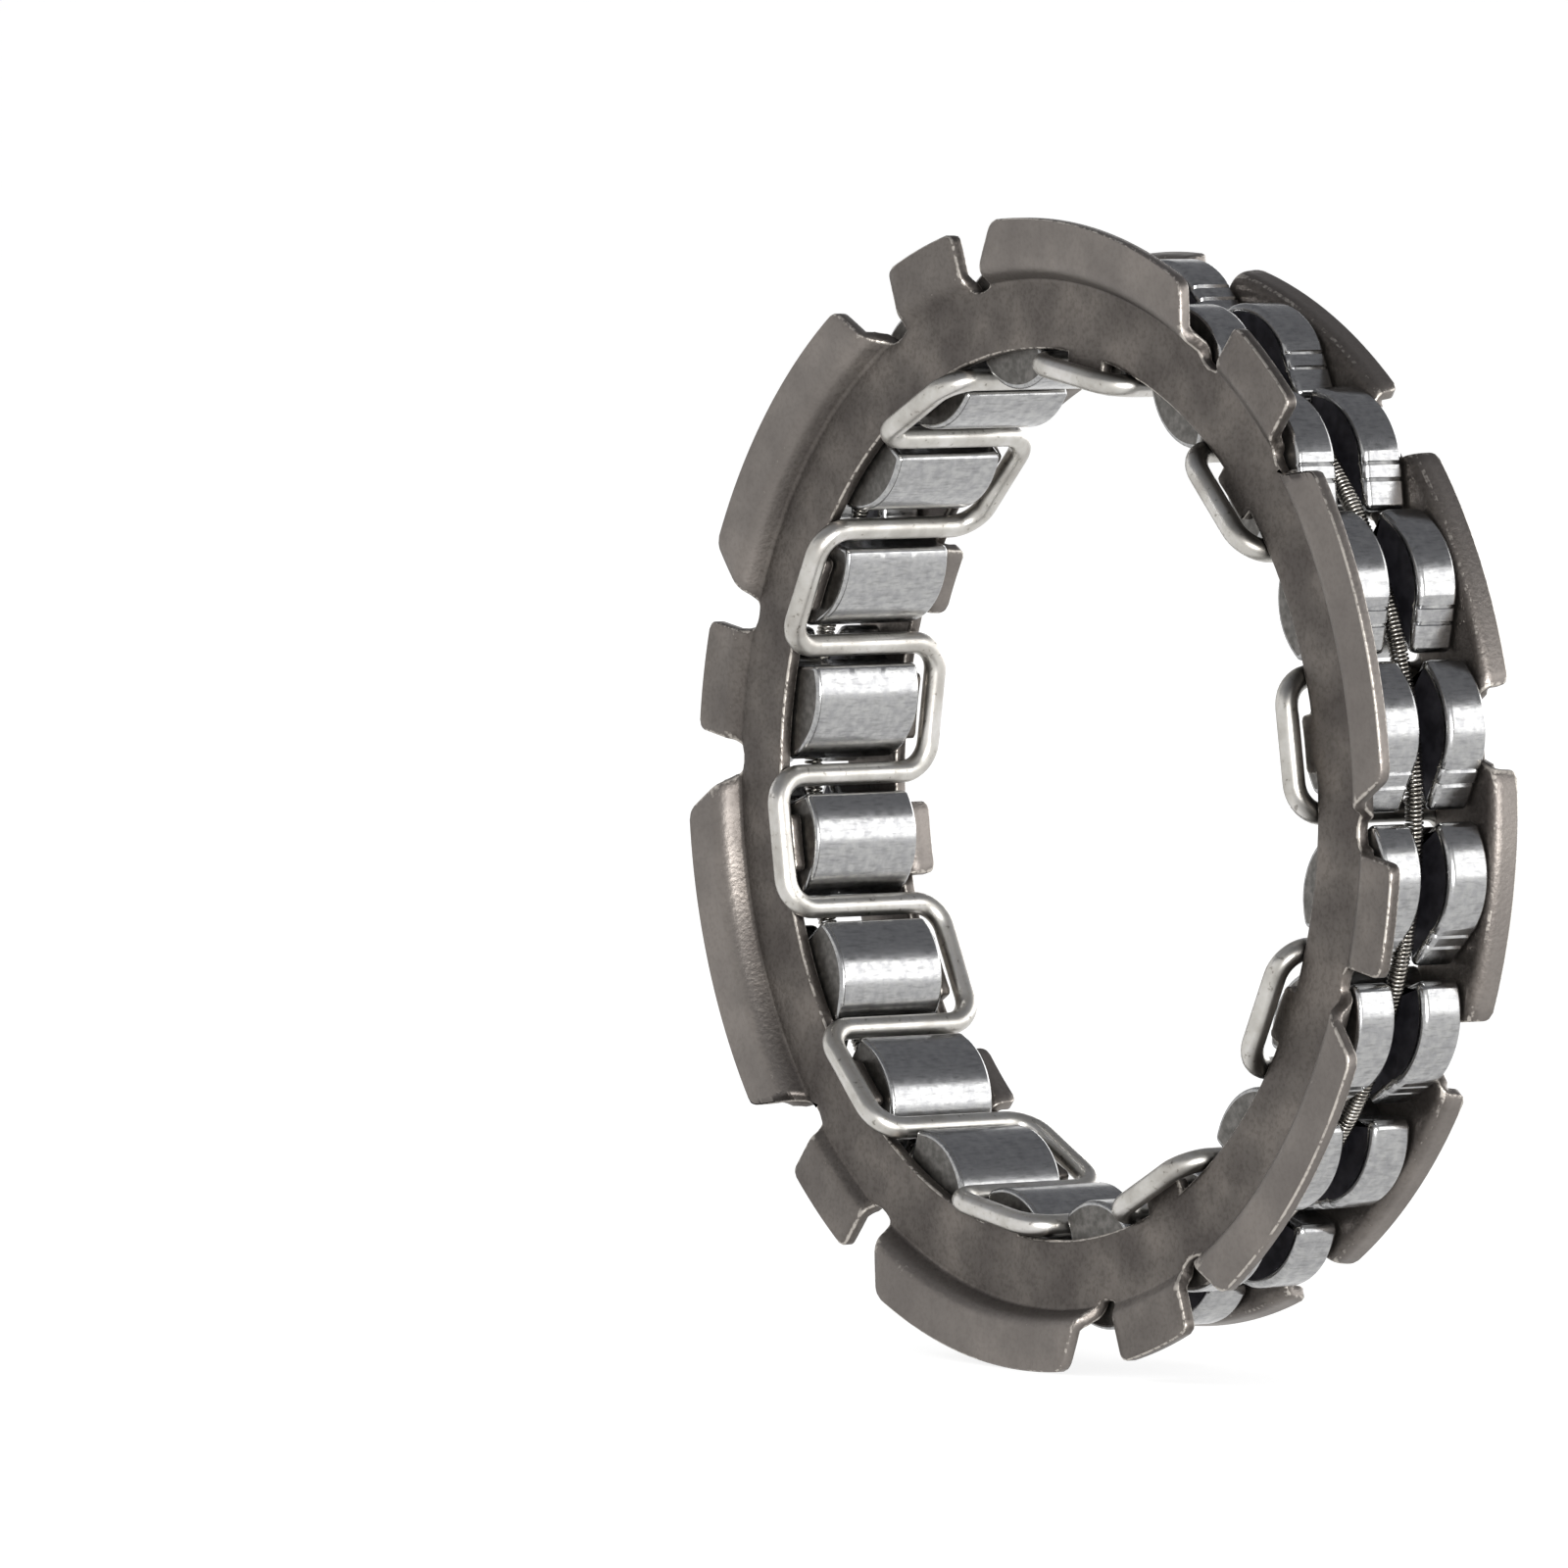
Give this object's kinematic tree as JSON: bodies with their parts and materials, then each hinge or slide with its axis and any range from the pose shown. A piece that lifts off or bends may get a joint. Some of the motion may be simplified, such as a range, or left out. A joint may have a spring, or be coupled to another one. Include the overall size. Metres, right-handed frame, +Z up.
{
  "type": "sprag clutch",
  "caption": "One-way clutch cartridge: a ring of tilting cam sprags between two pressed steel rings with turned-out lugs, spaced by a serpentine wire and held by a garter spring.",
  "frame": {"origin": "middle of the ring on its axis, halfway between the outer ends of the front and rear wire loops", "axes": "+Y along the ring axis from the front ring, which has the large lugs, to the rear ring; +Z up, +X to the right as seen from the front"},
  "size_m": [0.0706, 0.013, 0.0708],
  "materials": {
    "ring_steel": "pressed carbon steel sheet, tumbled, dull grey-brown with a fine grain",
    "wire_steel": "drawn spring steel wire, satin, warm light grey",
    "spring_steel": "fine drawn spring wire, close wound, satin grey",
    "sprag_steel": "hardened bearing steel, drawn and vibratory polished, bright with fine axial lines"
  },
  "bodies": {
    "cage": {"front_ring": "ring_steel", "rear_ring": "ring_steel", "serpentine_wire": "wire_steel", "garter_spring": "spring_steel"},
    "sprag_01": {"sprag_01": "sprag_steel"},
    "sprag_02": {"sprag_02": "sprag_steel"},
    "sprag_03": {"sprag_03": "sprag_steel"},
    "sprag_04": {"sprag_04": "sprag_steel"},
    "sprag_05": {"sprag_05": "sprag_steel"},
    "sprag_06": {"sprag_06": "sprag_steel"},
    "sprag_07": {"sprag_07": "sprag_steel"},
    "sprag_08": {"sprag_08": "sprag_steel"},
    "sprag_09": {"sprag_09": "sprag_steel"},
    "sprag_10": {"sprag_10": "sprag_steel"},
    "sprag_11": {"sprag_11": "sprag_steel"},
    "sprag_12": {"sprag_12": "sprag_steel"},
    "sprag_13": {"sprag_13": "sprag_steel"},
    "sprag_14": {"sprag_14": "sprag_steel"},
    "sprag_15": {"sprag_15": "sprag_steel"},
    "sprag_16": {"sprag_16": "sprag_steel"},
    "sprag_17": {"sprag_17": "sprag_steel"},
    "sprag_18": {"sprag_18": "sprag_steel"},
    "sprag_19": {"sprag_19": "sprag_steel"},
    "sprag_20": {"sprag_20": "sprag_steel"}
  },
  "joints": [
    {"name": "sprag_01_tilt", "type": "hinge", "parent": "cage", "child": "sprag_01", "pos_m": [0.02923, 0, 0.00402], "axis": [0, 1, 0], "range_deg": [-6, 8], "stiffness_Nm_per_rad": 0.02},
    {"name": "sprag_02_tilt", "type": "hinge", "parent": "cage", "child": "sprag_02", "pos_m": [0.02656, 0, 0.01286], "axis": [0, 1, 0], "range_deg": [-6, 8], "stiffness_Nm_per_rad": 0.02},
    {"name": "sprag_03_tilt", "type": "hinge", "parent": "cage", "child": "sprag_03", "pos_m": [0.02128, 0, 0.02044], "axis": [0, 1, 0], "range_deg": [-6, 8], "stiffness_Nm_per_rad": 0.02},
    {"name": "sprag_04_tilt", "type": "hinge", "parent": "cage", "child": "sprag_04", "pos_m": [0.01393, 0, 0.02601], "axis": [0, 1, 0], "range_deg": [-6, 8], "stiffness_Nm_per_rad": 0.02},
    {"name": "sprag_05_tilt", "type": "hinge", "parent": "cage", "child": "sprag_05", "pos_m": [0.00521, 0, 0.02904], "axis": [0, 1, 0], "range_deg": [-6, 8], "stiffness_Nm_per_rad": 0.02},
    {"name": "sprag_06_tilt", "type": "hinge", "parent": "cage", "child": "sprag_06", "pos_m": [-0.00402, 0, 0.02923], "axis": [0, 1, 0], "range_deg": [-6, 8], "stiffness_Nm_per_rad": 0.02},
    {"name": "sprag_07_tilt", "type": "hinge", "parent": "cage", "child": "sprag_07", "pos_m": [-0.01286, 0, 0.02656], "axis": [0, 1, 0], "range_deg": [-6, 8], "stiffness_Nm_per_rad": 0.02},
    {"name": "sprag_08_tilt", "type": "hinge", "parent": "cage", "child": "sprag_08", "pos_m": [-0.02044, 0, 0.02128], "axis": [0, 1, 0], "range_deg": [-6, 8], "stiffness_Nm_per_rad": 0.02},
    {"name": "sprag_09_tilt", "type": "hinge", "parent": "cage", "child": "sprag_09", "pos_m": [-0.02601, 0, 0.01393], "axis": [0, 1, 0], "range_deg": [-6, 8], "stiffness_Nm_per_rad": 0.02},
    {"name": "sprag_10_tilt", "type": "hinge", "parent": "cage", "child": "sprag_10", "pos_m": [-0.02904, 0, 0.00521], "axis": [0, 1, 0], "range_deg": [-6, 8], "stiffness_Nm_per_rad": 0.02},
    {"name": "sprag_11_tilt", "type": "hinge", "parent": "cage", "child": "sprag_11", "pos_m": [-0.02923, 0, -0.00402], "axis": [0, 1, 0], "range_deg": [-6, 8], "stiffness_Nm_per_rad": 0.02},
    {"name": "sprag_12_tilt", "type": "hinge", "parent": "cage", "child": "sprag_12", "pos_m": [-0.02656, 0, -0.01286], "axis": [0, 1, 0], "range_deg": [-6, 8], "stiffness_Nm_per_rad": 0.02},
    {"name": "sprag_13_tilt", "type": "hinge", "parent": "cage", "child": "sprag_13", "pos_m": [-0.02128, 0, -0.02044], "axis": [0, 1, 0], "range_deg": [-6, 8], "stiffness_Nm_per_rad": 0.02},
    {"name": "sprag_14_tilt", "type": "hinge", "parent": "cage", "child": "sprag_14", "pos_m": [-0.01393, 0, -0.02601], "axis": [0, 1, 0], "range_deg": [-6, 8], "stiffness_Nm_per_rad": 0.02},
    {"name": "sprag_15_tilt", "type": "hinge", "parent": "cage", "child": "sprag_15", "pos_m": [-0.00521, 0, -0.02904], "axis": [0, 1, 0], "range_deg": [-6, 8], "stiffness_Nm_per_rad": 0.02},
    {"name": "sprag_16_tilt", "type": "hinge", "parent": "cage", "child": "sprag_16", "pos_m": [0.00402, 0, -0.02923], "axis": [0, 1, 0], "range_deg": [-6, 8], "stiffness_Nm_per_rad": 0.02},
    {"name": "sprag_17_tilt", "type": "hinge", "parent": "cage", "child": "sprag_17", "pos_m": [0.01286, 0, -0.02656], "axis": [0, 1, 0], "range_deg": [-6, 8], "stiffness_Nm_per_rad": 0.02},
    {"name": "sprag_18_tilt", "type": "hinge", "parent": "cage", "child": "sprag_18", "pos_m": [0.02044, 0, -0.02128], "axis": [0, 1, 0], "range_deg": [-6, 8], "stiffness_Nm_per_rad": 0.02},
    {"name": "sprag_19_tilt", "type": "hinge", "parent": "cage", "child": "sprag_19", "pos_m": [0.02601, 0, -0.01393], "axis": [0, 1, 0], "range_deg": [-6, 8], "stiffness_Nm_per_rad": 0.02},
    {"name": "sprag_20_tilt", "type": "hinge", "parent": "cage", "child": "sprag_20", "pos_m": [0.02904, 0, -0.00521], "axis": [0, 1, 0], "range_deg": [-6, 8], "stiffness_Nm_per_rad": 0.02}
  ],
  "couplings": [
    {"joint": "sprag_02_tilt", "follows": "sprag_01_tilt", "ratio": 1},
    {"joint": "sprag_03_tilt", "follows": "sprag_01_tilt", "ratio": 1},
    {"joint": "sprag_04_tilt", "follows": "sprag_01_tilt", "ratio": 1},
    {"joint": "sprag_05_tilt", "follows": "sprag_01_tilt", "ratio": 1},
    {"joint": "sprag_06_tilt", "follows": "sprag_01_tilt", "ratio": 1},
    {"joint": "sprag_07_tilt", "follows": "sprag_01_tilt", "ratio": 1},
    {"joint": "sprag_08_tilt", "follows": "sprag_01_tilt", "ratio": 1},
    {"joint": "sprag_09_tilt", "follows": "sprag_01_tilt", "ratio": 1},
    {"joint": "sprag_10_tilt", "follows": "sprag_01_tilt", "ratio": 1},
    {"joint": "sprag_11_tilt", "follows": "sprag_01_tilt", "ratio": 1},
    {"joint": "sprag_12_tilt", "follows": "sprag_01_tilt", "ratio": 1},
    {"joint": "sprag_13_tilt", "follows": "sprag_01_tilt", "ratio": 1},
    {"joint": "sprag_14_tilt", "follows": "sprag_01_tilt", "ratio": 1},
    {"joint": "sprag_15_tilt", "follows": "sprag_01_tilt", "ratio": 1},
    {"joint": "sprag_16_tilt", "follows": "sprag_01_tilt", "ratio": 1},
    {"joint": "sprag_17_tilt", "follows": "sprag_01_tilt", "ratio": 1},
    {"joint": "sprag_18_tilt", "follows": "sprag_01_tilt", "ratio": 1},
    {"joint": "sprag_19_tilt", "follows": "sprag_01_tilt", "ratio": 1},
    {"joint": "sprag_20_tilt", "follows": "sprag_01_tilt", "ratio": 1}
  ]
}
